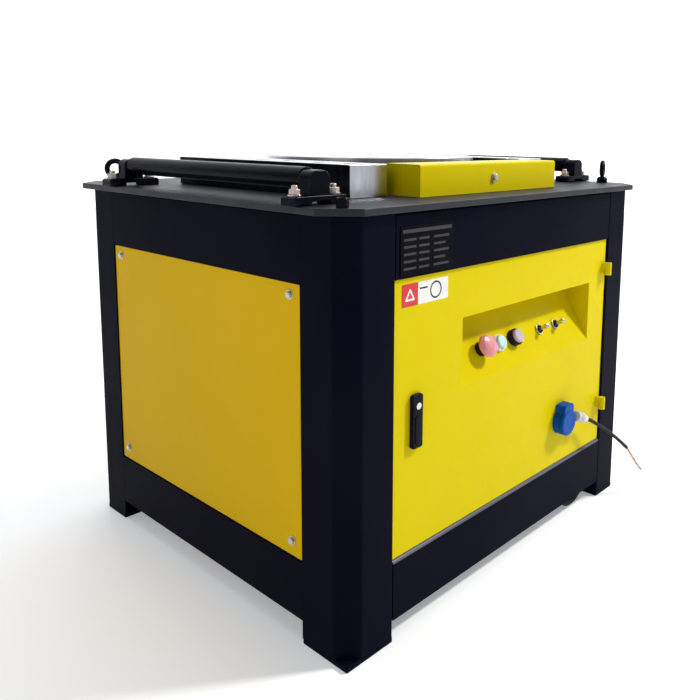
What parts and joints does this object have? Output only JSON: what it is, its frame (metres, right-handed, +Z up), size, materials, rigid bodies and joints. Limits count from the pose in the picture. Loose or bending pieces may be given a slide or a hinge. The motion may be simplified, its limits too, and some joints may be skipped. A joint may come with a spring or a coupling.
{
  "type": "rebar bending machine",
  "caption": "Electric rebar bending machine: steel cabinet on four legs, table with a turning holed disc between two pin blocks and two rollers, hinged control door.",
  "frame": {"origin": "on the floor under the middle of the table plate, the free mains lead not counted", "axes": "+X to the right seen from the door, +Y away from the door towards the back, +Z up"},
  "size_m": [0.864, 0.7883, 0.7],
  "materials": {
    "navy_paint": "semi-gloss",
    "yellow_paint": "gloss",
    "machined_steel": "machined",
    "black_gloss": "gloss",
    "zinc": "zinc plated",
    "cast_grey": "painted",
    "bronze": "machined",
    "belt_rubber": "matte",
    "wheel_black": "matte",
    "black_plastic": "matte",
    "red_plastic": "gloss",
    "pale_green_plastic": "gloss",
    "lilac_plastic": "gloss",
    "blue_plastic": "gloss",
    "grey_plastic": "matte",
    "lead_sheath": "matte",
    "copper": "bare copper strands"
  },
  "bodies": {
    "cabinet": {"corner_post_front_left": "navy_paint", "corner_post_front_right": "navy_paint", "corner_post_rear_left": "navy_paint", "corner_post_rear_right": "navy_paint", "top_rail_front": "navy_paint", "bottom_rail_front": "navy_paint", "top_rail_rear": "navy_paint", "bottom_rail_rear": "navy_paint", "top_rail_left": "navy_paint", "bottom_rail_left": "navy_paint", "top_rail_right": "navy_paint", "bottom_rail_right": "navy_paint", "side_panel_left": "yellow_paint", "side_panel_right": "yellow_paint", "rear_panel": "yellow_paint", "base_tray": "navy_paint", "table_plate": "navy_paint", "pin_block_left": "machined_steel", "pin_block_right": "machined_steel", "roller_bracket_left_front": "navy_paint", "roller_bracket_left_rear": "navy_paint", "roller_bracket_right_front": "navy_paint", "roller_bracket_right_rear": "navy_paint", "eye_bolt_front_right": "black_gloss", "eye_bolt_rear_left": "black_gloss", "switch_cover": "yellow_paint", "limit_switch": "black_plastic", "gearbox_housing": "cast_grey", "gearbox_lid": "cast_grey", "motor": "cast_grey", "drive_belt": "belt_rubber", "wheel_fork_front": "zinc", "wheel_fork_rear": "zinc", "hinge_pin_lower": "yellow_paint", "hinge_pin_upper": "yellow_paint", "nameplate": "black_plastic"},
    "disc": {"bending_disc": "machined_steel", "main_spindle": "machined_steel", "worm_wheel": "bronze"},
    "worm": {"worm_shaft": "machined_steel", "driven_pulley": "cast_grey"},
    "motor_rotor": {"motor_pulley": "cast_grey"},
    "left_roller": {"roller_left": "black_gloss"},
    "right_roller": {"roller_right": "black_gloss"},
    "front_wheel": {"wheel_front": "wheel_black"},
    "rear_wheel": {"wheel_rear": "wheel_black"},
    "door_leaf": {"door": "yellow_paint", "control_box": "zinc", "panel_socket": "blue_plastic", "plug": "blue_plastic", "cable_gland": "grey_plastic"},
    "handle": {"door_handle": "black_gloss", "lock_cam": "zinc"},
    "estop": {"emergency_stop": "red_plastic"},
    "start": {"start_button": "pale_green_plastic"},
    "stop": {"stop_button": "lilac_plastic"},
    "left_toggle": {"toggle_left": "zinc"},
    "right_toggle": {"toggle_right": "zinc"},
    "free_lead": {"mains_lead": "lead_sheath", "bared_cores": "copper"}
  },
  "joints": [
    {"name": "disc_spin", "type": "hinge", "parent": "cabinet", "child": "disc", "pos_m": [0, 0, 0.68], "axis": [0, 0, 1], "continuous": true},
    {"name": "worm_spin", "type": "hinge", "parent": "cabinet", "child": "worm", "pos_m": [0, 0.125, 0.52], "axis": [1, 0, 0], "continuous": true},
    {"name": "motor_spin", "type": "hinge", "parent": "cabinet", "child": "motor_rotor", "pos_m": [-0.175, 0.125, 0.15], "axis": [1, 0, 0], "continuous": true},
    {"name": "left_roller_spin", "type": "hinge", "parent": "cabinet", "child": "left_roller", "pos_m": [-0.386, -0.0375, 0.68], "axis": [0, 1, 0], "continuous": true},
    {"name": "right_roller_spin", "type": "hinge", "parent": "cabinet", "child": "right_roller", "pos_m": [0.386, 0.0375, 0.68], "axis": [0, 1, 0], "continuous": true},
    {"name": "front_wheel_spin", "type": "hinge", "parent": "cabinet", "child": "front_wheel", "pos_m": [0.236, -0.327, 0.052], "axis": [0, 1, 0], "continuous": true},
    {"name": "rear_wheel_spin", "type": "hinge", "parent": "cabinet", "child": "rear_wheel", "pos_m": [0.236, 0.327, 0.052], "axis": [0, 1, 0], "continuous": true},
    {"name": "door_swing", "type": "hinge", "parent": "cabinet", "child": "door_leaf", "pos_m": [0.299, -0.3653, 0.34], "axis": [0, 0, 1], "range_deg": [0, 110]},
    {"name": "handle_turn", "type": "hinge", "parent": "door_leaf", "child": "handle", "pos_m": [-0.2615, -0.358, 0.3502], "axis": [0, 1, 0], "range_deg": [-90, 0]},
    {"name": "estop_press", "type": "slide", "parent": "door_leaf", "child": "estop", "axis": [0, 0.866, -0.5], "range_m": [0, 0.005], "stiffness_N_per_m": 600},
    {"name": "start_press", "type": "slide", "parent": "door_leaf", "child": "start", "axis": [0, 0.866, -0.5], "range_m": [0, 0.004], "stiffness_N_per_m": 500},
    {"name": "stop_press", "type": "slide", "parent": "door_leaf", "child": "stop", "axis": [0, 0.866, -0.5], "range_m": [0, 0.004], "stiffness_N_per_m": 500},
    {"name": "left_toggle_flip", "type": "hinge", "parent": "door_leaf", "child": "left_toggle", "pos_m": [0.1053, -0.331, 0.38914], "axis": [1, 0, 0], "range_deg": [-15, 15]},
    {"name": "right_toggle_flip", "type": "hinge", "parent": "door_leaf", "child": "right_toggle", "pos_m": [0.16, -0.331, 0.38914], "axis": [1, 0, 0], "range_deg": [-15, 15]},
    {"name": "lead_swing", "type": "hinge", "parent": "door_leaf", "child": "free_lead", "pos_m": [0.2247, -0.3734, 0.1958], "axis": [0, 0, 1], "range_deg": [-66, 0]}
  ],
  "couplings": [
    {"joint": "worm_spin", "follows": "disc_spin", "ratio": 40},
    {"joint": "motor_spin", "follows": "disc_spin", "ratio": 80},
    {"joint": "lead_swing", "follows": "door_swing", "ratio": -0.6}
  ]
}
